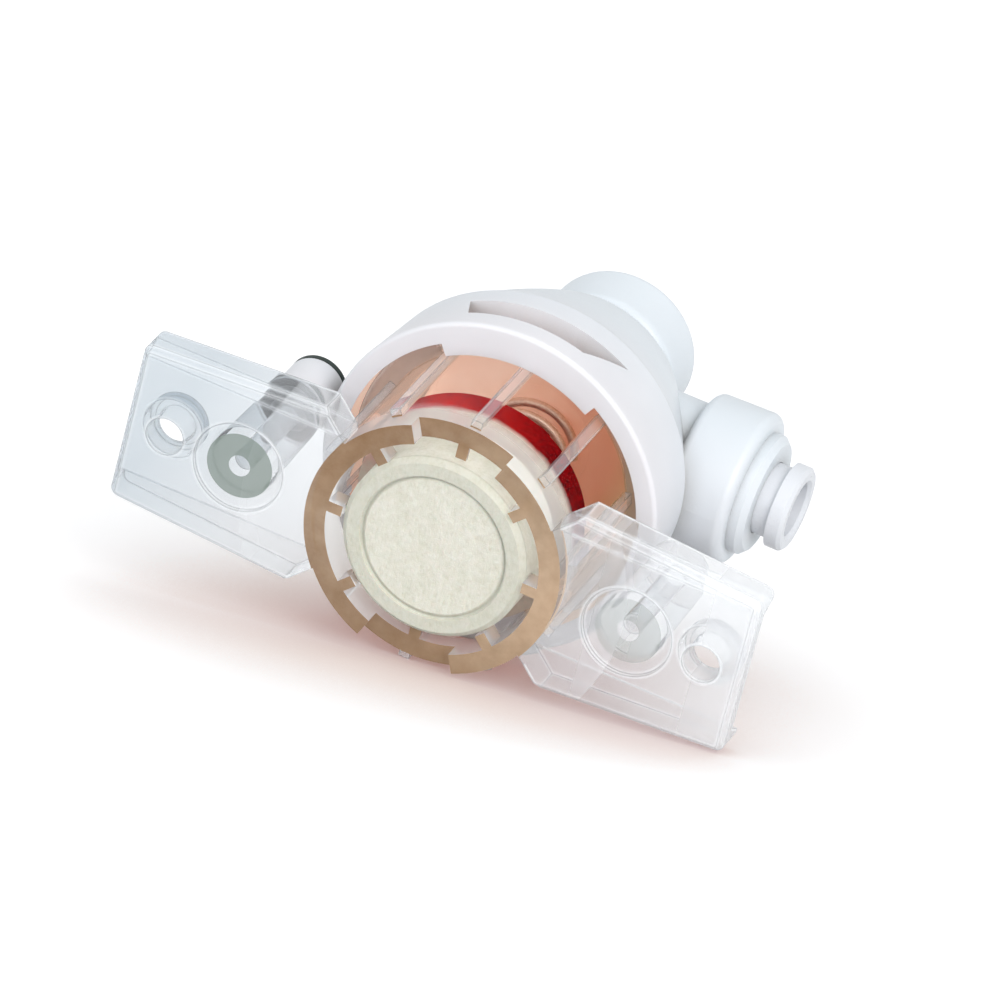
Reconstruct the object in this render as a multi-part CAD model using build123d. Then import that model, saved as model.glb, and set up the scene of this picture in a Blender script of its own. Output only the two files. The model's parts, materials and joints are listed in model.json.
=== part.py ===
"""Leak-sensing shut-off valve with a clear floor base, a swelling tablet and push-in tube ports.

Lengths are millimetres. The origin is on the floor under the valve axis, +Z runs up the axis
and +X points to the wing below the side port.
"""
import os

from build123d import *

# drawing scale and fits
unit = 1.0
slide_fit = 0.08 * unit
seal_fit = 0.02 * unit
lug_fit = 0.1 * unit
cut_past = 1.0 * unit

# push-in tube ports, from the 1/4 inch tube outward
tube_bore_r = 3.25 * unit
collet_wall = 0.95 * unit
collet_stem_r = tube_bore_r + collet_wall
collet_lip = 0.7 * unit
collet_head_r = collet_stem_r + collet_lip
collet_rim = 0.1 * unit
collet_flange_r = collet_head_r + collet_rim
collet_flange_t = 1.9 * unit
collet_travel = 1.6 * unit
collet_gap = 0.3 * unit
cartridge_wall = 1.3 * unit
cartridge_seat_r = collet_head_r + cartridge_wall
cartridge_lip = 0.9 * unit
cartridge_r = cartridge_seat_r + cartridge_lip
cartridge_flange_t = 1.8 * unit
collet_head_t = 0.8 * unit
cartridge_depth = 3 * collet_travel + collet_head_t
spacer_t = 1.4 * unit
tube_seal_t = 1.9 * unit
seal_room = 0.05 * unit
tube_seal_r = tube_bore_r + tube_seal_t + seal_room
tube_socket = 3.5 * unit
tube_stop_depth = cartridge_depth + spacer_t + tube_seal_t + tube_socket
water_bore_r = 2.2 * unit
port_wall = 2.7 * unit
port_body_r = cartridge_seat_r + port_wall
port_flare = 0.2 * unit
port_mouth_r = port_body_r + port_flare
port_body_length = 7.7 * unit
port_corner = 1.1 * unit
port_step = 1.7 * unit
port_neck_r = port_body_r - port_step

# radii from the body's skirt inward to the tablet
skirt_r = 20.0 * unit
skirt_wall = 2.4 * unit
skirt_edge = 0.5 * unit
groove_r = skirt_r - skirt_wall
lug_r = groove_r - lug_fit
lug_step = 1.5 * unit
rib_r = lug_r - lug_step
rib_height = 1.0 * unit
tube_r = rib_r - rib_height
tube_wall = 2.3 * unit
tube_inner_r = tube_r - tube_wall
tablet_gap = 1.85 * unit
tablet_r = tube_inner_r - tablet_gap
tooth_gap = 0.1 * unit
tooth_tip_r = tablet_r + tooth_gap

# valve body, heights above the floor
skirt_z = 16.2 * unit
tab_height = 3.3 * unit
groove_z = skirt_z + tab_height
groove_height = 4.0 * unit
groove_top_z = groove_z + groove_height
tube_lip_height = 1.5 * unit
tube_top_z = groove_top_z + tube_lip_height
shoulder_rise = 2.0 * unit
shoulder_z = tube_top_z + shoulder_rise
skirt_taper = 0.9 * unit
shoulder_r = skirt_r - skirt_taper
crease_rise = 1.6 * unit
crease_z = shoulder_z + crease_rise
crease_step = 0.8 * unit
crease_r = shoulder_r - crease_step
dome_mid_rise = 7.9 * unit
dome_mid_z = crease_z + dome_mid_rise
dome_mid_step = 3.2 * unit
dome_mid_r = crease_r - dome_mid_step
dome_rise = 14.0 * unit
dome_top_z = crease_z + dome_rise
dome_step = 6.1 * unit
dome_top_r = crease_r - dome_step
dome_rim = 0.7 * unit
spring_room_height = 4.2 * unit
gland_z = tube_top_z + spring_room_height
gland_height = 3.8 * unit
gland_top_z = gland_z + gland_height
gland_r = 6.6 * unit
chamber_r = 5.0 * unit
chamber_height = 8.0 * unit
chamber_top_z = gland_top_z + chamber_height
side_port_z = gland_top_z + chamber_height / 2
side_port_reach = 8.8 * unit
side_port_x = dome_mid_r + side_port_reach
top_port_reach = 13.2 * unit
top_port_z = dome_top_z + top_port_reach
spring_room_gap = 0.2 * unit
spring_room_r = tube_inner_r + spring_room_gap
tab_half_angle = 32.0
window_left_low = 0.41 * skirt_r
window_left_high = 0.47 * skirt_r
window_right_low = 0.28 * skirt_r
window_right_high = 0.5 * skirt_r

# blanking plug on the left post
plug_r = 3.5 * unit
plug_height = 6.1 * unit
plug_ring_t = 1.1 * unit
plug_pin_r = 1.2 * unit
plug_pin_depth = 5.0 * unit
plug_step = 1.3 * unit
plug_core_r = plug_r - plug_step
plug_cap_t = 0.5 * unit

# clear base
notch_depth = 2.1 * unit
notch_angle = 45.0
tooth_count = 8
tooth_width = 1.3 * unit
tooth_height = 2.6 * unit
rib_count = 10
rib_first_angle = -87.5
rib_width = 1.3 * unit
rib_z = 2.6 * unit
rib_overlap = 2.8 * unit
rib_top_z = skirt_z + rib_overlap
lug_half_angle = 50.0
lug_height = 2.9 * unit
lug_top_z = groove_z + lug_height
plug_gap = 0.2 * unit
post_x = skirt_r + plug_r + plug_gap
screw_spacing = 9.0 * unit
screw_x = post_x + screw_spacing
wing_margin = 4.8 * unit
wing_x = screw_x + wing_margin
wing_end_y = 9.9 * unit
wing_root_gap = 0.7 * unit
wing_inner_x = tube_r + wing_root_gap
wing_flare = 1.5 * unit
wing_inner_y = wing_end_y + wing_flare
wing_root_run = 6.7 * unit
wing_corner = 1.0 * unit
wing_bevel = 0.7 * unit
plate_t = 2.3 * unit
wall_height = 2.1 * unit
wall_top_z = plate_t + wall_height
wall_top_t = 1.3 * unit
wall_foot_t = 2.4 * unit
screw_hole_r = 2.2 * unit
screw_mouth_r = 2.9 * unit
screw_boss_r = 3.5 * unit
post_r = 3.9 * unit
post_top_r = 3.6 * unit
post_top_z = 14.4 * unit
pin_fit = 0.05 * unit
post_hole_r = plug_pin_r + pin_fit
post_mark_r = 5.3 * unit
post_mark_depth = 0.5 * unit
plug_z = post_top_z + plug_ring_t
plug_top_z = plug_z + plug_height

# tablet and plunger
tablet_z = 0.3 * unit
tablet_height = 8.5 * unit
tablet_top_z = tablet_z + tablet_height
tablet_recess_r = 0.8 * tablet_r
tablet_recess_depth = 0.35 * unit
tablet_edge = 0.6 * unit
piston_t = 2.0 * unit
piston_skirt_height = 4.3 * unit
piston_skirt_z = tablet_top_z + piston_skirt_height
piston_skirt_t = 1.4 * unit
stem_root_r = 3.2 * unit
stem_root_height = 7.7 * unit
stem_root_z = tablet_top_z + stem_root_height
stem_r = 2.0 * unit
stem_tip_r = 1.2 * unit
poppet_gap = 2.4 * unit
poppet_z = gland_top_z + poppet_gap
poppet_t = 2.5 * unit
poppet_top_z = poppet_z + poppet_t
poppet_r = 3.6 * unit
poppet_edge = 0.4 * unit
stem_tip_height = 1.1 * unit
stem_top_z = poppet_top_z + stem_tip_height
seal_wire_r = 0.7 * unit
gland_seal_z = gland_z + gland_height / 2
spring_wire_r = 0.5 * unit
spring_clearance = 1.5 * unit
spring_r = stem_root_r + spring_clearance + spring_wire_r
spring_turns = 6
spring_gap = 0.3 * unit


def turned(points):
    """A solid of revolution about Z from (radius, height) corners."""
    outline = make_face(Polyline(*points, close=True))
    return revolve(Plane.XZ * outline, axis=Axis.Z)


def barrel(radius, low, high):
    """A plain cylinder between two heights."""
    return turned([(0, low), (radius, low), (radius, high), (0, high)])


def hoop(outer, inner, low, high):
    """A plain ring between two heights."""
    return turned([(inner, low), (outer, low), (outer, high), (inner, high)])


def wedge(reach, low, high, middle, half):
    """A pie slice about Z, centred on an angle, that reaches past a radius."""
    steps = 4
    far = 1.2 * reach
    angles = [middle - half + 2 * half * step / steps for step in range(steps + 1)]
    rim = [Vector(far, 0).rotate(Axis.Z, angle) for angle in angles]
    face = make_face(Polyline((0, 0), *[(spot.X, spot.Y) for spot in rim], close=True))
    return Pos(0, 0, low) * extrude(face, high - low)


def torus_ring(radius, wire_r, height):
    """A round-section ring about Z at a height."""
    return Pos(0, 0, height) * Torus(radius, wire_r)


def port_place(solid, side):
    """Carries a port piece, drawn with its mouth at zero and +Z outward, to one of the two ports."""
    if side:
        return Pos(side_port_x, 0, side_port_z) * Rot(0, 90, 0) * solid
    return Pos(0, 0, top_port_z) * solid


def port_shell():
    """The outside of a port: a thick mouth with rounded corners."""
    back = -port_body_length
    shell = turned([
        (0, back),
        (port_body_r, back),
        (port_mouth_r, 0),
        (0, 0),
    ])
    rims = shell.edges().filter_by(GeomType.CIRCLE)
    return fillet(rims, port_corner)


def port_hollow():
    """The stepped bore that takes the cartridge, the spacer, the seal and the tube end."""
    seal_floor = -cartridge_depth - spacer_t - tube_seal_t
    seat = cartridge_seat_r + slide_fit
    room = tube_seal_r + seal_fit
    return turned([
        (0, -tube_stop_depth),
        (tube_bore_r, -tube_stop_depth),
        (tube_bore_r, seal_floor),
        (room, seal_floor),
        (room, -cartridge_depth),
        (seat, -cartridge_depth),
        (seat, cut_past),
        (0, cut_past),
    ])


def port_cartridge():
    """The end piece pressed into the port; its inner taper closes the collet on the tube."""
    throat = collet_stem_r + slide_fit
    room = collet_head_r + slide_fit
    head_back = -cartridge_depth
    taper = -cartridge_depth + 2 * collet_travel
    chamfer = 0.4 * cartridge_flange_t
    return turned([
        (room, head_back),
        (cartridge_seat_r, head_back),
        (cartridge_seat_r, 0),
        (cartridge_r, 0),
        (cartridge_r, cartridge_flange_t - chamfer),
        (cartridge_r - chamfer, cartridge_flange_t),
        (throat, cartridge_flange_t),
        (throat, taper + collet_travel),
        (room, taper),
    ])


def port_collet():
    """The push-in collet: flange outside, slit stem and a head behind the taper."""
    flange_z = cartridge_flange_t + collet_travel + collet_gap
    head_back = -cartridge_depth + collet_travel + collet_gap
    head_front = head_back + collet_travel / 2
    edge = 0.2 * collet_flange_t
    body = turned([
        (tube_bore_r, head_back),
        (collet_head_r, head_back),
        (collet_head_r, head_front),
        (collet_stem_r, head_front + collet_head_r - collet_stem_r),
        (collet_stem_r, flange_z),
        (collet_flange_r, flange_z),
        (collet_flange_r, flange_z + collet_flange_t - edge),
        (collet_flange_r - edge, flange_z + collet_flange_t),
        (tube_bore_r + edge, flange_z + collet_flange_t),
        (tube_bore_r, flange_z + collet_flange_t - edge),
    ])
    slit = Box(2.4 * collet_head_r, collet_gap * 2, 2 * collet_travel)
    groove = hoop(collet_stem_r - collet_gap, 0, head_back, head_back + collet_gap * 2)
    for turn in (0, 90):
        body -= Pos(0, 0, head_back + collet_travel / 2) * Rot(0, 0, turn) * slit
    return body - groove


def port_grab_ring():
    """The toothed steel ring let into the collet's head."""
    head_back = -cartridge_depth + collet_travel + collet_gap
    return hoop(collet_stem_r - collet_gap, tube_bore_r, head_back, head_back + collet_gap)


def port_spacer():
    """The flat ring between the tube seal and the cartridge."""
    low = -cartridge_depth - spacer_t
    return hoop(tube_seal_r - slide_fit, tube_bore_r + slide_fit, low, -cartridge_depth)


def port_seal():
    """The rubber ring that seals on the tube."""
    middle = -cartridge_depth - spacer_t - tube_seal_t / 2
    wire = (tube_seal_t - seal_fit) / 2
    return torus_ring(tube_seal_r - wire, wire, middle)


def wing_outline():
    """Half of the base's outline: one tapering wing with chamfered root, on the +X side."""
    return [
        (wing_inner_x - wing_root_run, wing_inner_y - wing_root_run),
        (wing_inner_x, wing_inner_y),
        (wing_x, wing_end_y),
        (wing_x, -wing_end_y),
        (wing_inner_x, -wing_inner_y),
        (wing_inner_x - wing_root_run, wing_root_run - wing_inner_y),
    ]


def wing_tray():
    """One wing as a tray: a bevelled plate with two long walls, upright outside and sloping inside."""
    block = extrude(make_face(Polyline(*wing_outline(), close=True)), wall_top_z)
    ends = block.edges().filter_by(Axis.Z).sort_by(Axis.X)[-2:]
    block = fillet(ends, wing_corner)
    foot = block.edges().group_by(Axis.Z)[0].filter_by(lambda edge: edge.center().X > wing_inner_x)
    block = chamfer(foot, wing_bevel)
    low = wing_end_y - wall_foot_t
    high = wing_end_y - wall_top_t
    past = wall_top_z + cut_past
    past_y = high + (high - low) * cut_past / (wall_top_z - plate_t)
    span = 2 * wing_x
    corners = [(-low, plate_t), (low, plate_t), (past_y, past), (-past_y, past)]
    section = make_face(Polyline(*corners, close=True))
    trough = extrude(Plane.YZ * section, span)
    return block - trough


def screw_hole():
    """The cutter for a screw hole, countersunk for the screw head on the far side."""
    sink = screw_mouth_r - screw_hole_r
    return turned([
        (0, -cut_past),
        (screw_hole_r, -cut_past),
        (screw_hole_r, wall_top_z - sink),
        (screw_mouth_r + cut_past, wall_top_z + cut_past),
        (0, wall_top_z + cut_past),
    ])


def wing():
    """One wing with its walls, screw boss and hollow post."""
    body = wing_tray()
    body += Pos(screw_x, 0, 0) * barrel(screw_boss_r, 0, wall_top_z)
    post = turned([(0, plate_t), (post_r, plate_t), (post_top_r, post_top_z), (0, post_top_z)])
    body += Pos(post_x, 0, 0) * post
    body -= Pos(screw_x, 0, 0) * screw_hole()
    body -= Pos(post_x, 0, 0) * barrel(post_hole_r, plate_t, post_top_z + cut_past)
    body -= Pos(post_x, 0, 0) * barrel(post_mark_r, -cut_past, post_mark_depth)
    return body


def cage_tube():
    """The tube that holds the tablet: notched foot, inward teeth and outer ribs."""
    body = barrel(tube_r, 0, tube_top_z)
    rib = Box(tube_r, rib_width, rib_top_z - rib_z)
    limit = barrel(rib_r, rib_z, rib_top_z)
    ribs = Part()
    for index in range(rib_count):
        turn = rib_first_angle + index * 360 / rib_count
        ribs += Rot(0, 0, turn) * Pos(tube_r, 0, (rib_z + rib_top_z) / 2) * rib
    return body + (ribs & limit)


def lugs():
    """The two bayonet lugs that stand out of the tube below the body's groove."""
    band = hoop(lug_r, tube_inner_r, groove_z + slide_fit, lug_top_z)
    result = Part()
    for middle in (0, 180):
        result += band & wedge(lug_r, 0, tube_top_z, middle, lug_half_angle)
    return result


def teeth():
    """The inward teeth round the tablet at the foot of the tube."""
    length = tube_inner_r - tooth_tip_r + slide_fit
    tooth = Box(length, tooth_width, tooth_height)
    result = Part()
    for index in range(tooth_count):
        turn = Rot(0, 0, index * 360 / tooth_count)
        result += turn * Pos(tooth_tip_r + length / 2, 0, tooth_height / 2) * tooth
    return result


def clear_base():
    """The clear moulding: two wings, the tablet tube and the bayonet lugs."""
    body = cage_tube() + lugs() + wing() + Rot(0, 0, 180) * wing()
    body -= barrel(tube_inner_r, -cut_past, tube_top_z + cut_past)
    body += teeth()
    for middle in (-90, 90):
        body -= wedge(tube_r, -cut_past, notch_depth, middle, notch_angle / 2)
    return body


def tablet():
    """The pressed tablet with a shallow round recess in its lower face."""
    return turned([
        (0, tablet_z + tablet_recess_depth),
        (tablet_recess_r, tablet_z + tablet_recess_depth),
        (tablet_recess_r, tablet_z),
        (tablet_r - tablet_edge, tablet_z),
        (tablet_r, tablet_z + tablet_edge),
        (tablet_r, tablet_top_z - tablet_edge),
        (tablet_r - tablet_edge, tablet_top_z),
        (0, tablet_top_z),
    ])


def plunger():
    """The piston on the tablet with its stem up to the poppet."""
    piston_r = tube_inner_r - slide_fit
    floor = tablet_top_z + piston_t
    return turned([
        (0, tablet_top_z),
        (piston_r, tablet_top_z),
        (piston_r, piston_skirt_z),
        (piston_r - piston_skirt_t, piston_skirt_z),
        (piston_r - piston_skirt_t, floor),
        (stem_root_r, floor),
        (stem_root_r, stem_root_z),
        (stem_r, stem_root_z + stem_root_r - stem_r),
        (stem_r, poppet_z),
        (stem_tip_r, poppet_z),
        (stem_tip_r, poppet_top_z),
        (stem_r - seal_fit, poppet_top_z),
        (stem_tip_r, stem_top_z),
        (0, stem_top_z),
    ])


def stem_seal():
    """The rubber ring that seals on the sliding stem, inside the gland."""
    return torus_ring(stem_r + seal_fit + seal_wire_r, seal_wire_r, gland_seal_z)


def poppet_seal():
    """The rubber disc at the stem's end that closes the seat."""
    return turned([
        (stem_tip_r, poppet_z),
        (poppet_r, poppet_z),
        (poppet_r, poppet_top_z - poppet_edge),
        (poppet_r - poppet_edge, poppet_top_z),
        (stem_tip_r, poppet_top_z),
    ])


def return_spring():
    """The coil spring between the piston and the gland."""
    low = tablet_top_z + piston_t + spring_wire_r + spring_gap
    high = gland_z - spring_wire_r - spring_gap
    pitch = (high - low) / spring_turns
    path = Pos(0, 0, low) * Helix(pitch, high - low, spring_r)
    section = Plane(origin=path @ 0, z_dir=path % 0) * Circle(spring_wire_r)
    return sweep(section, path=path)


def stem_gland():
    """The bush that guides the stem and shuts the water chamber."""
    low = gland_seal_z - seal_wire_r - seal_fit
    high = gland_seal_z + seal_wire_r + seal_fit
    inner_groove = barrel(stem_r + 2 * seal_wire_r + 2 * seal_fit, low, high)
    outer_groove = hoop(gland_r + cut_past, gland_r - 2 * seal_wire_r, low, high)
    return hoop(gland_r, stem_r + slide_fit, gland_z, gland_top_z) - inner_groove - outer_groove


def gland_seal():
    """The rubber ring round the gland."""
    return torus_ring(gland_r - seal_wire_r + seal_fit / 2, seal_wire_r, gland_seal_z)


def body_outline():
    """The body's turned outside: skirt, shoulder, dome and the neck of the top port."""
    neck_top = top_port_z - port_body_length / 2
    face = make_face([
        Line((0, skirt_z), (skirt_r, skirt_z)),
        Line((skirt_r, skirt_z), (shoulder_r, shoulder_z)),
        Line((shoulder_r, shoulder_z), (crease_r, crease_z)),
        ThreePointArc((crease_r, crease_z), (dome_mid_r, dome_mid_z), (dome_top_r, dome_top_z)),
        Line((dome_top_r, dome_top_z), (dome_top_r - dome_rim, dome_top_z + dome_rim)),
        Line((dome_top_r - dome_rim, dome_top_z + dome_rim), (port_neck_r, dome_top_z + dome_rim)),
        Line((port_neck_r, dome_top_z + dome_rim), (port_neck_r, neck_top)),
        Line((port_neck_r, neck_top), (0, neck_top)),
        Line((0, neck_top), (0, skirt_z)),
    ])
    outside = revolve(Plane.XZ * face, axis=Axis.Z)
    foot = outside.edges().filter_by(GeomType.CIRCLE).sort_by(Axis.Z)[0]
    return fillet(foot, skirt_edge)


def body_hollow():
    """The room inside: skirt, bayonet groove, spring room, gland seat, chamber and bores."""
    tabs_r = rib_r + slide_fit
    tube_room = tube_r + slide_fit
    seat_z = tube_top_z + slide_fit
    room = turned([
        (0, skirt_z - cut_past),
        (tabs_r, skirt_z - cut_past),
        (tabs_r, groove_z),
        (groove_r, groove_z),
        (groove_r, groove_top_z),
        (tube_room, groove_top_z),
        (tube_room, seat_z),
        (spring_room_r, seat_z),
        (spring_room_r, gland_z),
        (gland_r + seal_fit, gland_z),
        (gland_r + seal_fit, gland_top_z),
        (chamber_r, gland_top_z),
        (chamber_r, chamber_top_z),
        (water_bore_r, chamber_top_z),
        (water_bore_r, top_port_z - tube_stop_depth),
        (0, top_port_z - tube_stop_depth),
    ])
    gap = barrel(groove_r, skirt_z - cut_past, groove_z)
    for middle in (-90, 90):
        gap -= wedge(groove_r, 0, groove_z + cut_past, middle, tab_half_angle)
    return room + gap


def window():
    """The cutter for one slanted slot in the skirt, on the -Y side."""
    shape = make_face(Polyline(
        (-window_left_low, groove_z),
        (window_right_low, groove_z),
        (window_right_high, groove_top_z),
        (-window_left_high, groove_top_z),
        close=True,
    ))
    inner_y = (groove_r**2 - window_right_high**2) ** 0.5 - slide_fit
    return Pos(0, -inner_y, 0) * extrude(Plane.XZ * shape, skirt_r)


def valve_body():
    """The white body with its skirt, two windows, dome and two port mouths."""
    neck_length = side_port_x - port_body_length / 2
    neck = Pos(0, 0, side_port_z) * Rot(0, 90, 0) * barrel(port_neck_r, 0, neck_length)
    body = body_outline() + neck + port_place(port_shell(), True) + port_place(port_shell(), False)
    body -= window() + Rot(0, 0, 180) * window()
    body -= body_hollow()
    body -= port_place(port_hollow(), True) + port_place(port_hollow(), False)
    reach = side_port_x - tube_stop_depth + cut_past
    body -= Pos(0, 0, side_port_z) * Rot(0, 90, 0) * barrel(water_bore_r, 0, reach)
    return body


def blanking_plug():
    """The plain plug that stands in the left post."""
    body = turned([
        (0, post_top_z - plug_pin_depth),
        (plug_pin_r, post_top_z - plug_pin_depth),
        (plug_pin_r, post_top_z),
        (plug_core_r, post_top_z),
        (plug_core_r, plug_z),
        (plug_r, plug_z),
        (plug_r, plug_top_z),
        (plug_core_r, plug_top_z),
        (plug_core_r, plug_top_z + plug_ring_t + plug_cap_t),
        (0, plug_top_z + plug_ring_t + plug_cap_t),
    ])
    return Pos(-post_x, 0, 0) * body


def plug_ring(low):
    """A dark ring on the plug, resting on one of its steps."""
    high = low + plug_ring_t
    bulge = plug_ring_t / 4
    ring = turned([
        (plug_core_r + seal_fit, low),
        (plug_r - bulge, low),
        (plug_r, low + bulge),
        (plug_r, high - bulge),
        (plug_r - bulge, high),
        (plug_core_r + seal_fit, high),
    ])
    return Pos(-post_x, 0, 0) * ring


def port_parts(side, name):
    """The loose pieces of one port under their node names."""
    pieces = {
        "cartridge": port_cartridge(),
        "collet": port_collet(),
        "grab_ring": port_grab_ring(),
        "spacer": port_spacer(),
        "tube_seal": port_seal(),
    }
    return {f"{name}_{key}": port_place(piece, side) for key, piece in pieces.items()}


def main():
    """Builds every piece and writes one STEP file for each."""
    nodes = {
        "clear_base": clear_base(),
        "tablet": tablet(),
        "plunger": plunger(),
        "stem_seal": stem_seal(),
        "poppet_seal": poppet_seal(),
        "return_spring": return_spring(),
        "stem_gland": stem_gland(),
        "gland_seal": gland_seal(),
        "valve_body": valve_body(),
        "blanking_plug": blanking_plug(),
        "plug_ring_near": plug_ring(plug_z - plug_ring_t),
        "plug_ring_far": plug_ring(plug_top_z),
    }
    nodes.update(port_parts(True, "side"))
    nodes.update(port_parts(False, "top"))
    os.makedirs("parts", exist_ok=True)
    for name, solid in nodes.items():
        export_step(solid, f"parts/{name}.step")
        print(name, len(solid.solids()), round(solid.volume, 1), solid.is_valid)


main()
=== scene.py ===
"""Looks for the leak-sensing shut-off valve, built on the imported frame."""
import json
from collections import namedtuple

import bpy
from mathutils import Matrix, Vector


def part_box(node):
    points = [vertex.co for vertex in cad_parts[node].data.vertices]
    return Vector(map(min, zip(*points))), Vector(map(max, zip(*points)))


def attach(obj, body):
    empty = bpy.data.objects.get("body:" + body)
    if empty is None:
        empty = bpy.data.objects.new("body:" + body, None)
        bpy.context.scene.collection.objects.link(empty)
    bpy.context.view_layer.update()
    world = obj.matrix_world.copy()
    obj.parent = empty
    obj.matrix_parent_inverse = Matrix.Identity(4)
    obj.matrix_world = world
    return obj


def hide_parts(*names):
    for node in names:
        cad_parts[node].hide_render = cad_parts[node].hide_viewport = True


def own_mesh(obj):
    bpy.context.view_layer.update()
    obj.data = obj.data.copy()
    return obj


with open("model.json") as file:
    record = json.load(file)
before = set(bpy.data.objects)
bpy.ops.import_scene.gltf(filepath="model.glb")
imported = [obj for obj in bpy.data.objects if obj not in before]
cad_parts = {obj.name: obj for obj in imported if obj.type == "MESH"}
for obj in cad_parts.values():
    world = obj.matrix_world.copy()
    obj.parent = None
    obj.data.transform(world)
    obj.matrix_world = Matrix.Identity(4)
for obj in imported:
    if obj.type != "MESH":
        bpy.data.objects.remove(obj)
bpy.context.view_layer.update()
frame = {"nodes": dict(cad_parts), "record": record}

MM = 0.001

# The photograph's right, down and ahead in the model's frame, and the camera's place in it.
VIEW_RIGHT = Vector((0.8977, -0.2191, 0.3822))
VIEW_DOWN = Vector((0.3796, 0.8253, -0.4182))
VIEW_AHEAD = Vector((-0.2238, 0.5205, 0.8240))
CAMERA_PLACE = Vector((340.36, -786.88, -1230.88)) * MM
CAMERA_LENS = 493.75
CAMERA_SENSOR = 36
CAMERA_NEAR = 0.1
CAMERA_FAR = 10

# The floor under the tipped part, and the point that the lamps look at, in metres.
FLOOR_DOWN = Vector((0.132, 0.946, -0.295)).normalized()
FLOOR_REACH = 14.35 * MM
FLOOR_HALF = 0.8
# The reach of the floor's painted shadow.
FLOOR_SHADE_REACH = 75 * MM
MIDDLE = Vector((0, 0, 0.025))

# Places on the clear base, in millimetres: radii from the valve's axis, heights from its foot.
TUBE_REACH = 15.2
EDGE_BAND_START = 16.2
WING_INNER_END = 23.0
# Where the painted light on the wings' +X end begins.
WING_FAR_X = 17.0
FOOT_RING_TOP = 2.75
FROST_TOP = 6.2
LUG_FOOT = 19.0
# The painted shine on the foot ring's face runs along this y.
RING_PAINTED_SHINE_Y = 1.0
POST_X = 23.7
POST_MARK_SQUARES = (1.6, 15.2)
POST_MARK_TOP = 0.8

# How much each kind of haze or mark on the clear base covers, from 0 to 1.
WING_HAZE = 0.10
INNER_END_HAZE = 0.13
# Painted highlight: how much the bright band along the wings' edges covers.
EDGE_PAINTED_HIGHLIGHT = 0.46
EDGE_HIGHLIGHT_LOST_AT_RIM = 0.7
TUBE_HAZE = 0.008
FROST_HAZE = 0.26
COAT = 0.2
LUG_TAN_SHARE = 0.3
TAN_COVER = 0.92
POST_MARK_RIGHT = 0.28
POST_MARK_LEFT = 0.78
# Painted shade: how dark the clear base's rims are.
RIM_PAINTED_SHADE = 0.8

# Places in the white body's inner room, in millimetres.
ROOM_R = 16.9
ROOM_SIDE_R = 17.65
ROOM_SIDE_SLOPE = 0.64
ROOM_FLOOR = 16.3
ROOM_TOP = 29.3
# Where the inner room's painted red blush and tan wall light begin.
BLUSH_R = 14.5
ROOM_WALL_R = 9.5
# The reach of the painted shade in the body's recesses, in metres.
RECESS_SHADE_REACH = 4.5 * MM

# How strong the room's painted light is: its red blush, its tan at the wall and its glow.
BLUSH_LIGHT_SHARE = 0.7
ROOM_WALL_LIGHT_SHARE = 0.75
ROOM_PAINTED_GLOW_STRENGTH = 0.52

# Places on the piston and the tablet, in millimetres.
DUST_TOP = 10.3
TABLET_RIM_R = 8.7
TABLET_RIM_TOP = 1.2
TABLET_LINE_R = 8.45
TABLET_LINE_TOP = 1.0

# How much the dust and the painted shade on the pressed line and on the rim show, and how deep the
# line is in the relief.
DUST_SHARE = 0.88
TABLET_LINE_SHADE_SHARE = 0.6
TABLET_RIM_SHADE_SHARE = 0.3
TABLET_LINE_DEPTH = 0.8

# Painted light and shade that drift over the part: rates for each millimetre, the tone in the middle,
# and the streaks'.
SHADE_SWEEP_PER_X, SHADE_SWEEP_PER_Y, SHADE_SWEEP_MIDDLE = 0.0135, 0.005, 0.5
TAN_LIGHT_PER_X, TAN_LIGHT_PER_Y, TAN_MIDDLE, TAN_STREAKS = 0.013, 0.022, 0.34, 0.5
ROOM_PER_X_AND_Y, ROOM_MIDDLE, ROOM_STREAKS = 0.026, 0.12, 0.6
BODY_LIGHT_PER_HEIGHT = 0.016

# Widths of the painted dark rim and of the band of painted highlight along the clear base's edges, in
# metres.
RIM_WIDTH = 0.23 * MM
EDGE_BAND_WIDTH = 0.8 * MM

# Limits for a face that looks down and for a normal that turns at an edge.
DOWNWARD = -0.8
EDGE_TURN = 0.02

# Ramps: a place from 0 to 1 and the colour there.
# The clear base's own faint tint, darkened by painted shade at rims and slanting faces.
CLEAR_TINT_AND_EDGE_SHADE = [(0.0, (0.935, 0.95, 0.965)), (0.55, (0.87, 0.89, 0.905)), (1.0, (0.24, 0.27, 0.27))]
# Painted shade on the clear base: darker towards its ends, most at -X.
CLEAR_SHADE_SWEEP = [
    (0.05, (0.655, 0.70, 0.73)), (0.24, (0.89, 0.895, 0.90)),
    (0.70, (0.99, 0.98, 0.975)), (0.98, (0.94, 0.94, 0.94))]
TAN_FACE_TONES = [
    (0.15, (0.245, 0.137, 0.062)), (0.5, (0.40, 0.265, 0.157)), (0.85, (0.60, 0.42, 0.275))]
# Painted light on the white body: warm low down by the orange and red parts, cool higher up.
BODY_LIGHT_BY_HEIGHT = [(0.28, (0.985, 0.965, 0.96)), (0.55, (0.94, 0.99, 1.0))]
# Painted shade in the white body's recesses.
RECESS_SHADE_TONES = [(0.25, (0.68, 0.655, 0.625)), (0.75, (1, 1, 1))]
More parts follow.
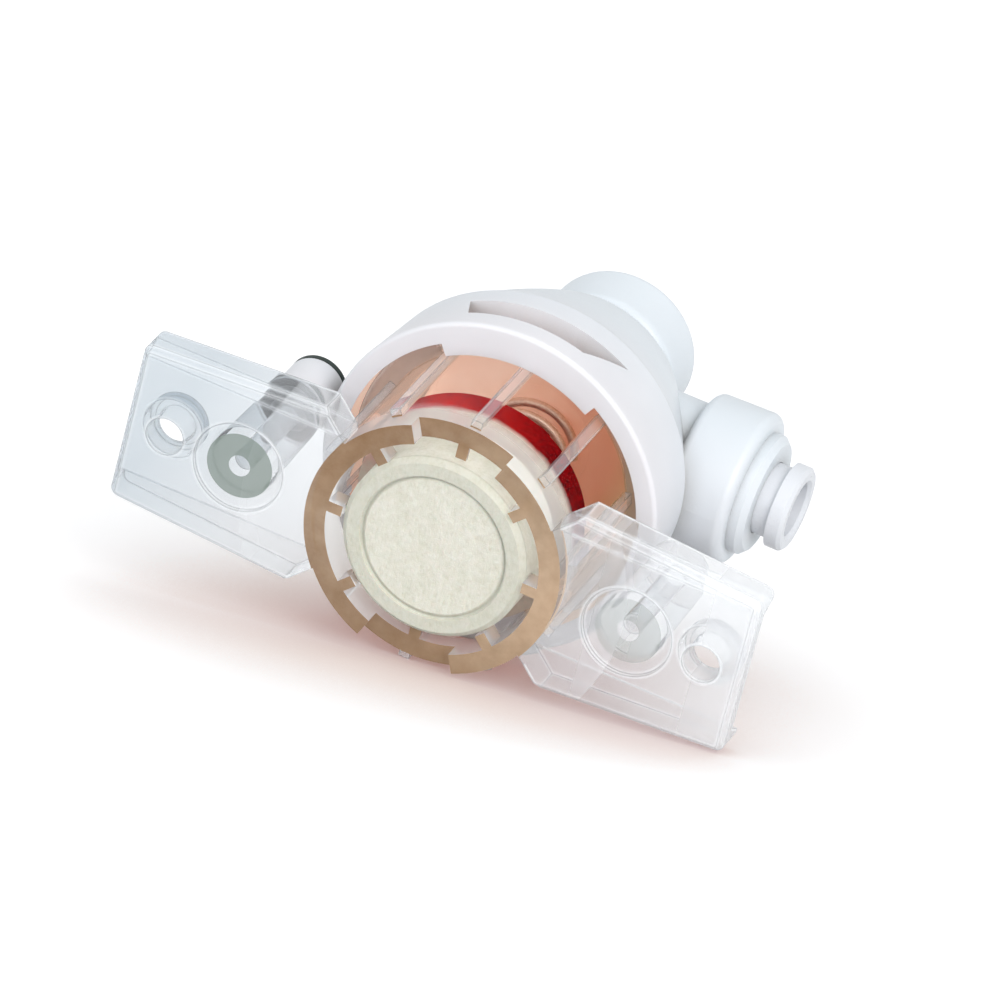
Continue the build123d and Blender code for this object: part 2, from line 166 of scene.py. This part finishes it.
# Painted warm light on the inner room's colour, and the colours of its painted glow.
ROOM_PAINTED_WARMTH = [(0.3, (0.66, 0.43, 0.32)), (0.7, (0.72, 0.52, 0.41))]
ROOM_PAINTED_GLOW = [(0.1, (0.80, 0.60, 0.49)), (0.45, (0.56, 0.28, 0.17)), (0.9, (0.26, 0.10, 0.03))]
RED_SPECKLE = [(0.36, (0.05, 0.0, 0.001)), (0.64, (0.26, 0.001, 0.003))]
RED_CLOUD = [(0.35, (0.34, 0.002, 0.005)), (0.65, (0.60, 0.010, 0.008))]
FIBRE_TONES = [(0.34, (0.66, 0.64, 0.52)), (0.50, (0.755, 0.735, 0.63)), (0.66, (0.82, 0.80, 0.71))]
# Steel's tones, warmed by painted light from the orange and red parts.
STEEL_WARM_LIGHT_TONES = [(0.3, (0.74, 0.56, 0.46)), (0.7, (0.86, 0.70, 0.60))]
# Painted shadow on the floor, warm near the part: openness from 0 to 1 and the colour there.
FLOOR_SHADE = [
    (0.2, (0.18, 0.05, 0.03)), (0.6, (0.31, 0.205, 0.155)),
    (0.8, (0.43, 0.405, 0.39)), (0.95, (0.62, 0.61, 0.60))]

# Plain colours, and the strength of the light from around.
TUBE_TINT = (0.955, 0.94, 0.925)
HAZE_COLOUR = (0.92, 0.935, 0.95)
POST_MARK_COLOUR = (0.20, 0.25, 0.215)
BODY_WHITES = ((0.75, 0.76, 0.785), (0.79, 0.80, 0.825))
COLLET_WHITES = ((0.70, 0.72, 0.75), (0.75, 0.77, 0.80))
# Painted light in the inner room: the red blush by the piston and the tan at the wall.
BLUSH_LIGHT_COLOUR = (0.42, 0.08, 0.04)
ROOM_WALL_LIGHT_COLOUR = (0.34, 0.27, 0.13)
DUST_COLOUR = (0.66, 0.61, 0.52)
# Painted shade along the tablet's pressed line and rim.
TABLET_LINE_SHADE_COLOUR = (0.42, 0.43, 0.34)
BLACK_RUBBER = (0.02, 0.02, 0.022)
GREEN_BLACK_RUBBER = (0.008, 0.022, 0.018)
FLOOR_COLOUR = (0.60, 0.61, 0.62)
SKY_COLOUR = (0.94, 0.97, 1.0)
SKY_STRENGTH = 0.68
WHITE = (1, 1, 1)

# Inputs and output of a colour mix node.
MIX_SHARE, MIX_FIRST, MIX_SECOND, MIX_RESULT = 0, 6, 7, 2

# Distance from the valve's axis, height, and the places along X and Y, in millimetres.
Place = namedtuple("Place", "radius height across along")


class Value:
    """A shader value. Arithmetic with it adds the math nodes that work it out."""

    def __init__(self, socket):
        self.socket = socket

    def math(self, operation, first, second=0.0):
        """One math node on values or numbers."""
        node = add_node(self.socket.id_data, "ShaderNodeMath", operation=operation)
        for entry, value in zip(node.inputs, (first, second)):
            feed(entry, value)
        return Value(node.outputs[0])

    def __add__(self, other):
        return self.math("ADD", self, other)

    def __sub__(self, other):
        return self.math("SUBTRACT", self, other)

    def __rsub__(self, other):
        return self.math("SUBTRACT", other, self)

    def __mul__(self, other):
        return self.math("MULTIPLY", self, other)

    def __abs__(self):
        return self.math("ABSOLUTE", self)

    def __lt__(self, other):
        return self.math("LESS_THAN", self, other)

    def __gt__(self, other):
        return self.math("GREATER_THAN", self, other)

    def larger(self, other):
        """The larger of two values."""
        return self.math("MAXIMUM", self, other)

    def clamped(self):
        """The value held between 0 and 1."""
        node = add_node(self.socket.id_data, "ShaderNodeClamp", Value=self)
        return Value(node.outputs[0])


def feed(entry, value):
    """Sets an input to a number or colour, or links it to a shader value."""
    if isinstance(value, Value):
        entry.id_data.links.new(value.socket, entry)
    elif entry.type == "RGBA":
        entry.default_value = (*value, 1)
    else:
        entry.default_value = value


def add_node(tree, kind, **values):
    """A node with inputs or properties set by name; _ stands for a space in an input's name."""
    node = tree.nodes.new(kind)
    for key, value in values.items():
        name = key.replace("_", " ")
        if name in node.inputs:
            feed(node.inputs[name], value)
        else:
            setattr(node, key, value)
    return node


def new_material(name):
    """An empty node material and its tree."""
    material = bpy.data.materials.new(name)
    material.use_nodes = True
    material.node_tree.nodes.clear()
    return material, material.node_tree


def show(tree, shader, kind="ShaderNodeOutputMaterial"):
    """Links a shader to a new output of the tree."""
    output = tree.nodes.new(kind)
    tree.links.new(shader.outputs[0], output.inputs["Surface"])


def principled(tree, **values):
    """A principled shader with its inputs set or fed."""
    return add_node(tree, "ShaderNodeBsdfPrincipled", **values)


def mix_shaders(share, first, second):
    """A shader that goes from one to the other with the share."""
    tree = first.id_data
    node = tree.nodes.new("ShaderNodeMixShader")
    feed(node.inputs[0], share)
    tree.links.new(first.outputs[0], node.inputs[1])
    tree.links.new(second.outputs[0], node.inputs[2])
    return node


def mix_colours(share, first, second, kind="MIX"):
    """A colour that goes from one to the other with the share."""
    node = add_node(first.socket.id_data, "ShaderNodeMix", data_type="RGBA", blend_type=kind)
    feed(node.inputs[MIX_SHARE], share)
    feed(node.inputs[MIX_FIRST], first)
    feed(node.inputs[MIX_SECOND], second)
    return Value(node.outputs[MIX_RESULT])


def multiply_colours(first, second):
    """The product of two colours."""
    return mix_colours(1.0, first, second, "MULTIPLY")


def noise(tree, scale, detail=4.0, rough=0.5, stretch=(1, 1, 1)):
    """Noise in object space, the same size on every piece."""
    place = tree.nodes.new("ShaderNodeTexCoord")
    turn = add_node(
        tree, "ShaderNodeMapping", Vector=Value(place.outputs["Object"]), Scale=stretch)
    node = add_node(
        tree, "ShaderNodeTexNoise", Vector=Value(turn.outputs[0]), Scale=scale, Detail=detail,
        Roughness=rough)
    return Value(node.outputs["Fac"])


def ramp(source, stops):
    """A colour ramp on a value."""
    node = source.socket.id_data.nodes.new("ShaderNodeValToRGB")
    elements = node.color_ramp.elements
    while len(elements) < len(stops):
        elements.new(0.5)
    for element, (spot, colour) in zip(elements, stops):
        element.position = spot
        element.color = (*colour, 1)
    feed(node.inputs[0], source)
    return Value(node.outputs[0])


def bump(shader, source, depth):
    """Relief of a depth in metres, from a value."""
    node = add_node(shader.id_data, "ShaderNodeBump", Distance=depth, Height=source)
    feed(shader.inputs["Normal"], Value(node.outputs[0]))


def model_place(tree):
    """Where on the part a point lies."""
    source = tree.nodes.new("ShaderNodeTexCoord")
    scaled = add_node(tree, "ShaderNodeVectorMath", operation="SCALE", Scale=1 / MM)
    feed(scaled.inputs[0], Value(source.outputs["Object"]))
    split = add_node(tree, "ShaderNodeSeparateXYZ", Vector=Value(scaled.outputs[0]))
    flat = add_node(tree, "ShaderNodeVectorMath", operation="MULTIPLY")
    feed(flat.inputs[0], Value(scaled.outputs[0]))
    feed(flat.inputs[1], (1, 1, 0))
    length = add_node(tree, "ShaderNodeVectorMath", operation="LENGTH")
    feed(length.inputs[0], Value(flat.outputs[0]))
    return Place(
        radius=Value(length.outputs["Value"]), height=Value(split.outputs["Z"]),
        across=Value(split.outputs["X"]), along=Value(split.outputs["Y"]))


def fade(value, start, rate):
    """Grows from 0 at the start by a rate for each millimetre, held between 0 and 1."""
    return ((value - start) * rate).clamped()


def drift(value, rate, middle):
    """Goes from the middle tone at zero by a rate for each millimetre, held between 0 and 1."""
    return (value * rate + middle).clamped()


def facing_floor(tree):
    """One on faces that look towards the floor side."""
    side = tree.nodes.new("ShaderNodeNewGeometry")
    split = add_node(tree, "ShaderNodeSeparateXYZ", Vector=Value(side.outputs["True Normal"]))
    return Value(split.outputs["Z"]) < DOWNWARD


def near_edge(tree, reach):
    """One within reach of an edge, where a rounded normal turns from the face's own."""
    side = tree.nodes.new("ShaderNodeNewGeometry")
    rounded = add_node(tree, "ShaderNodeBevel", samples=6, Radius=reach)
    dot = add_node(tree, "ShaderNodeVectorMath", operation="DOT_PRODUCT")
    feed(dot.inputs[0], Value(side.outputs["Normal"]))
    feed(dot.inputs[1], Value(rounded.outputs[0]))
    return 1.0 - Value(dot.outputs["Value"]) > EDGE_TURN


def open_sky(tree, samples, reach):
    """How open a point is, from 0 in a deep corner to 1."""
    node = add_node(tree, "ShaderNodeAmbientOcclusion", samples=samples, Distance=reach)
    return Value(node.outputs["AO"])


def clear_glass(tree, place, rim, tube):
    """The see-through part of the clear plastic, with painted shade at rims and slanting faces and
    towards its ends, most at -X.
    """
    slant = add_node(tree, "ShaderNodeLayerWeight", Blend=0.35)
    edge = (rim * RIM_PAINTED_SHADE + Value(slant.outputs["Facing"])).clamped()
    shade_sweep = (place.across * SHADE_SWEEP_PER_X + place.along * SHADE_SWEEP_PER_Y + SHADE_SWEEP_MIDDLE).clamped()
    wing_tint_and_shade = multiply_colours(ramp(edge, CLEAR_TINT_AND_EDGE_SHADE), ramp(shade_sweep, CLEAR_SHADE_SWEEP))
    glass = principled(
        tree, Base_Color=mix_colours(tube, wing_tint_and_shade, TUBE_TINT), Transmission_Weight=1.0,
        Roughness=0.02, IOR=1.03, Coat_Weight=(1.0 - tube) * COAT, Coat_Roughness=0.08)
    bump(glass, noise(tree, scale=140, detail=2, rough=0.4, stretch=(0.4, 1.6, 1)), 0.10 * MM)
    return glass


def haze_share(tree, place, rim, tube):
    """How much haze covers the clear plastic: on the wings and the tube's foot, with painted
    highlight in a band along the wings' edges and painted light towards the +X end.
    """
    wing = 1.0 - tube
    frost = fade(place.height, start=FROST_TOP, rate=-0.5)
    on_tube = drift(place.across, rate=-0.0025, middle=TUBE_HAZE) + frost * FROST_HAZE
    # Painted light: whiter haze towards the +X end.
    far_end_painted_light = fade(place.across, start=WING_FAR_X, rate=0.010)
    inner_end = wing * (place.radius < WING_INNER_END)
    # Painted highlight: a bright band along the wings' edges.
    painted_edge_band = near_edge(tree, EDGE_BAND_WIDTH) * (place.radius > EDGE_BAND_START)
    painted_edge_band = painted_edge_band * (1.0 - rim * EDGE_HIGHLIGHT_LOST_AT_RIM)
    cover = wing * WING_HAZE + tube * on_tube + far_end_painted_light
    return cover + inner_end * INNER_END_HAZE + painted_edge_band * EDGE_PAINTED_HIGHLIGHT


def tan_face_share(tree, place, tube):
    """Where the tan faces show: the foot ring's face and, fainter, the lugs' feet."""
    foot_ring = (place.height < FOOT_RING_TOP) * tube
    lug = place.height > LUG_FOOT
    return (foot_ring + lug * LUG_TAN_SHARE).clamped() * facing_floor(tree) * TAN_COVER


def tan_face(tree, place, streak):
    """Tan end face, with painted light: lighter towards +X and near a line at y 1 mm."""
    # Painted light: lighter towards +X and near the shine line.
    slope = place.across * TAN_LIGHT_PER_X - abs(place.along - RING_PAINTED_SHINE_Y) * TAN_LIGHT_PER_Y
    colour = ramp(slope + streak * TAN_STREAKS + TAN_MIDDLE, TAN_FACE_TONES)
    shader = principled(tree, Base_Color=colour, Roughness=0.4, IOR=1.2)
    bump(shader, streak, 0.04 * MM)
    return shader


def post_mark_share(place):
    """Where the grey-green ring under each post shows, stronger under the left one."""
    offset = abs(place.across) - POST_X
    square = offset * offset + place.along * place.along
    inner, outer = POST_MARK_SQUARES
    ring = (square < outer) * (square > inner) * (place.height < POST_MARK_TOP)
    left = place.across < 0.0
    return ring * (left * (POST_MARK_LEFT - POST_MARK_RIGHT) + POST_MARK_RIGHT)


def clear_plastic():
    """Clear moulded plastic: faint tint, flow lines, a little haze, painted shade at rims, a band of
    painted highlight along the edges and tan end faces with painted light.
    """
    material, tree = new_material("clear_moulding")
    place = model_place(tree)
    rim = near_edge(tree, RIM_WIDTH)
    tube = place.radius < TUBE_REACH
    streak = noise(tree, scale=420, detail=4, rough=0.6)
    haze = principled(tree, Base_Color=HAZE_COLOUR, Roughness=0.3)
    post_mark = principled(tree, Base_Color=POST_MARK_COLOUR, Roughness=0.35)
    bump(post_mark, streak, 0.03 * MM)
    glass = clear_glass(tree, place, rim, tube)
    hazy = mix_shaders(haze_share(tree, place, rim, tube), glass, haze)
    with_ends = mix_shaders(tan_face_share(tree, place, tube), hazy, tan_face(tree, place, streak))
    show(tree, mix_shaders(post_mark_share(place), with_ends, post_mark))
    return material


def white_shader(tree, whites, gloss):
    """White moulding with faint mottling, fine skin and a soft glow inside; and its colour."""
    low, high = whites
    colour = ramp(noise(tree, scale=90, detail=3), [(0.3, low), (0.7, high)])
    skin = noise(tree, scale=2600, detail=2)
    rough = ramp(skin, [(0.2, (gloss - 0.05,) * 3), (0.8, (gloss + 0.08,) * 3)])
    shader = principled(
        tree, Base_Color=colour, Roughness=rough, IOR=1.5, Subsurface_Weight=0.15,
        Subsurface_Scale=2 * MM, Subsurface_Radius=(1.0, 0.95, 0.9))
    bump(shader, skin, 0.012 * MM)
    return shader, colour


def collet_plastic():
    """The slightly darker, glossier white plastic of the collets and spacers."""
    material, tree = new_material("collet_moulding")
    shader, _ = white_shader(tree, COLLET_WHITES, gloss=0.3)
    show(tree, shader)
    return material


def room_share(place):
    """One in the body's inner room."""
    side = abs(place.across) > abs(place.along) * ROOM_SIDE_SLOPE
    inside = (place.radius < ROOM_R).larger(side * (place.radius < ROOM_SIDE_R))
    return inside * (place.height < ROOM_TOP) * (place.height > ROOM_FLOOR)


def painted_room_glow(tree, place):
    """Painted light glowing in the inner room, though it is no lamp: towards +X it is redder by the
    piston and tan at the wall.
    """
    streak = noise(tree, scale=190, detail=3, rough=0.6, stretch=(1, 1, 0.35))
    slope = (place.across + place.along) * ROOM_PER_X_AND_Y + ROOM_MIDDLE + streak * ROOM_STREAKS
    shift = drift(place.across, rate=0.08, middle=0.35)
    blush = fade(place.radius, start=BLUSH_R, rate=-0.16) * shift
    wall = fade(place.radius, start=ROOM_WALL_R, rate=0.3) * shift
    flushed = mix_colours(blush * BLUSH_LIGHT_SHARE, ramp(slope, ROOM_PAINTED_GLOW), BLUSH_LIGHT_COLOUR)
    return mix_colours(wall * ROOM_WALL_LIGHT_SHARE, flushed, ROOM_WALL_LIGHT_COLOUR)


def body_plastic():
    """The white body, with painted shade in its recesses, painted light by height and painted light
    glowing in its inner room.
    """
    material, tree = new_material("white_moulding")
    shader, colour = white_shader(tree, BODY_WHITES, gloss=0.36)
    place = model_place(tree)
    # Painted light by height: warm low down, cool higher up.
    lit_by_height = multiply_colours(colour, ramp(place.height * BODY_LIGHT_PER_HEIGHT, BODY_LIGHT_BY_HEIGHT))
    # Painted shade: darker where the body is less open.
    recess_shade = ramp(open_sky(tree, samples=4, reach=RECESS_SHADE_REACH), RECESS_SHADE_TONES)
    outside = multiply_colours(lit_by_height, recess_shade)
    room = room_share(place)
    # The inner room's warm colour and its glow are painted light.
    painted_warmth = ramp(noise(tree, scale=160, detail=2), ROOM_PAINTED_WARMTH)
    feed(shader.inputs["Base Color"], mix_colours(room, outside, painted_warmth))
    feed(shader.inputs["Emission Color"], painted_room_glow(tree, place))
    feed(shader.inputs["Emission Strength"], room * ROOM_PAINTED_GLOW_STRENGTH)
    show(tree, shader)
    return material


def red_plastic():
    """Red moulded plastic with a fine dark speckle, with painted shade making it deeper towards +X,
    and a pale dusted foot.
    """
    material, tree = new_material("red_moulding")
    place = model_place(tree)
    speckle = noise(tree, scale=2200, detail=4, rough=0.7)
    cloud = noise(tree, scale=380, detail=3, rough=0.6)
    # Painted shade: the red is deeper towards +X.
    shaded_towards_x = drift(place.across, rate=0.075, middle=0.42)
    red = mix_colours(shaded_towards_x, ramp(cloud, RED_CLOUD), ramp(speckle, RED_SPECKLE))
    dust = fade(place.height + cloud, start=DUST_TOP, rate=-0.9) * DUST_SHARE
    shader = principled(
        tree, Base_Color=mix_colours(dust, red, DUST_COLOUR), Roughness=0.6, IOR=1.12)
    bump(shader, speckle, 0.02 * MM)
    show(tree, shader)
    return material


def pressed_fibre():
    """Pale pressed fibre board with matted strands, fine grain and a pressed line by its rim, with
    painted shade on the line and the rim.
    """
    material, tree = new_material("pressed_fibre")
    place = model_place(tree)
    cloud = noise(tree, scale=700, detail=6, rough=0.65)
    strands = noise(tree, scale=2600, detail=5, rough=0.7, stretch=(1, 0.45, 1))
    mat = (cloud + strands) * 0.5
    # Painted shade on the tablet's rim and along its pressed line.
    rim = (place.radius > TABLET_RIM_R) * (place.height < TABLET_RIM_TOP)
    line = drift(abs(place.radius - TABLET_LINE_R), rate=-3.2, middle=1.0)
    line = line * (place.height < TABLET_LINE_TOP)
    shade = (line * TABLET_LINE_SHADE_SHARE).larger(rim * TABLET_RIM_SHADE_SHARE)
    shader = principled(
        tree, Base_Color=mix_colours(shade, ramp(mat, FIBRE_TONES), TABLET_LINE_SHADE_COLOUR),
        Roughness=0.9, Subsurface_Weight=0.1, Subsurface_Scale=1 * MM)
    bump(shader, mat - line * TABLET_LINE_DEPTH, 0.25 * MM)
    show(tree, shader)
    return material


def dark_rubber(name, colour):
    """Moulded rubber with a dull fine grain."""
    material, tree = new_material(name)
    grain = noise(tree, scale=1500, detail=4)
    tone = ramp(grain, [(0.3, tuple(0.7 * part for part in colour)), (0.7, colour)])
    shader = principled(tree, Base_Color=tone, Roughness=0.55, IOR=1.5)
    bump(shader, grain, 0.02 * MM)
    show(tree, shader)
    return material


def spring_steel():
    """Drawn steel with fine drawing lines, its warm tone painted light from the orange and red parts
    round it.
    """
    material, tree = new_material("drawn_steel")
    lines = noise(tree, scale=3000, detail=3, rough=0.6, stretch=(1, 1, 0.1))
    shader = principled(tree, Base_Color=ramp(lines, STEEL_WARM_LIGHT_TONES), Metallic=1.0, Roughness=0.6)
    bump(shader, lines, 0.01 * MM)
    show(tree, shader)
    return material


def dress_nodes():
    """Gives every CAD node its material."""
    looks = {
        "clear_plastic": clear_plastic(),
        "white_plastic": body_plastic(),
        "collet_plastic": collet_plastic(),
        "red_plastic": red_plastic(),
        "tablet_board": pressed_fibre(),
        "dark_rubber": dark_rubber("black_rubber", BLACK_RUBBER),
        "green_black_rubber": dark_rubber("green_black_rubber", GREEN_BLACK_RUBBER),
        "spring_steel": spring_steel(),
    }
    slots = {part["node"]: part["material_slot"] for part in frame["record"]["subparts"]}
    for name, piece in frame["nodes"].items():
        piece.data.materials.clear()
        piece.data.materials.append(looks[slots[name]])


def compress_spring():
    """A copy of the return spring in its node's place on the valve, with the node hidden; the share
    of its length kept at the plunger's full rise is worked out but not used.
    """
    coil = bpy.data.objects.new("return_coil", frame["nodes"]["return_spring"].data.copy())
    bpy.context.scene.collection.objects.link(coil)
    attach(coil, "valve")
    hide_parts("return_spring")
    joints = frame["record"]["behaviour"]["joints"]
    travel = next(joint for joint in joints if joint["name"] == "plunger_rise")["range_m"][1]
    low, high = (corner[2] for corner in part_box("return_spring"))
    keep = 1 - travel / (high - low)
    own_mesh(coil)


def make_camera():
    """The camera at the photograph's place."""
    data = bpy.data.cameras.new("camera")
    data.lens = CAMERA_LENS
    data.sensor_width = CAMERA_SENSOR
    data.sensor_fit = "HORIZONTAL"
    data.clip_start = CAMERA_NEAR
    data.clip_end = CAMERA_FAR
    camera = bpy.data.objects.new("camera", data)
    bpy.context.scene.collection.objects.link(camera)
    turn = Matrix((VIEW_RIGHT, -VIEW_DOWN, -VIEW_AHEAD)).transposed().to_4x4()
    camera.matrix_world = Matrix.Translation(CAMERA_PLACE) @ turn
    bpy.context.scene.camera = camera


def background_rays(tree):
    """One for rays that see the background directly, by reflection or through clear plastic."""
    rays = tree.nodes.new("ShaderNodeLightPath").outputs
    seen = Value(rays["Is Camera Ray"]) + Value(rays["Is Glossy Ray"])
    return (seen + Value(rays["Is Transmission Ray"])).clamped()


def make_world():
    """An even pale surround, plain white where it is seen."""
    world = bpy.data.worlds.new("studio")
    bpy.context.scene.world = world
    world.use_nodes = True
    tree = world.node_tree
    tree.nodes.clear()
    lighting = add_node(tree, "ShaderNodeBackground", Color=SKY_COLOUR, Strength=SKY_STRENGTH)
    plain = add_node(tree, "ShaderNodeBackground", Color=WHITE, Strength=1.0)
    show(tree, mix_shaders(background_rays(tree), lighting, plain), "ShaderNodeOutputWorld")


def floor_surface():
    """White with a painted warm shadow round the part, and clear from below."""
    material, tree = new_material("floor_white")
    matte = add_node(tree, "ShaderNodeBsdfDiffuse", Color=FLOOR_COLOUR)
    # Painted shadow: the floor's seen colour darkens and warms where it is less open.
    shade = ramp(open_sky(tree, samples=8, reach=FLOOR_SHADE_REACH), FLOOR_SHADE)
    glow = add_node(tree, "ShaderNodeEmission", Color=shade, Strength=background_rays(tree))
    both = tree.nodes.new("ShaderNodeAddShader")
    tree.links.new(matte.outputs[0], both.inputs[0])
    tree.links.new(glow.outputs[0], both.inputs[1])
    clear = tree.nodes.new("ShaderNodeBsdfTransparent")
    side = tree.nodes.new("ShaderNodeNewGeometry")
    show(tree, mix_shaders(Value(side.outputs["Backfacing"]), both, clear))
    return material


def make_floor():
    """The surface that the tipped part lies on, square to the way down in the photograph."""
    half = FLOOR_HALF
    corners = [(-half, -half, 0), (half, -half, 0), (half, half, 0), (-half, half, 0)]
    mesh = bpy.data.meshes.new("floor")
    mesh.from_pydata(corners, [], [(0, 1, 2, 3)])
    mesh.materials.append(floor_surface())
    floor = bpy.data.objects.new("floor", mesh)
    bpy.context.scene.collection.objects.link(floor)
    floor.rotation_mode = "QUATERNION"
    floor.rotation_quaternion = (-FLOOR_DOWN).to_track_quat("Z", "Y")
    floor.location = FLOOR_DOWN * FLOOR_REACH


def area_lamp(name, right, up, back, size, power, colour):
    """A soft square lamp, placed from the middle by the photograph's right, up and back."""
    data = bpy.data.lights.new(name, "AREA")
    data.shape = "SQUARE"
    data.size = size
    data.energy = power
    data.color = colour
    lamp = bpy.data.objects.new(name, data)
    bpy.context.scene.collection.objects.link(lamp)
    place = MIDDLE + VIEW_RIGHT * right - VIEW_DOWN * up - VIEW_AHEAD * back
    lamp.location = place
    lamp.rotation_mode = "QUATERNION"
    lamp.rotation_quaternion = (MIDDLE - place).to_track_quat("-Z", "Y")


def make_lights():
    """A weak lamp from the left and a broad strong one by the camera's right."""
    area_lamp(
        "side", right=-0.90, up=0.35, back=0.90, size=0.80, power=4.5, colour=(0.95, 0.98, 1.0))
    area_lamp(
        "front", right=0.65, up=0.12, back=1.50, size=1.0, power=17.5, colour=(1.0, 0.975, 0.975))


make_camera()
make_world()
make_floor()
make_lights()
dress_nodes()
compress_spring()
bpy.context.scene.view_settings.view_transform = "Standard"
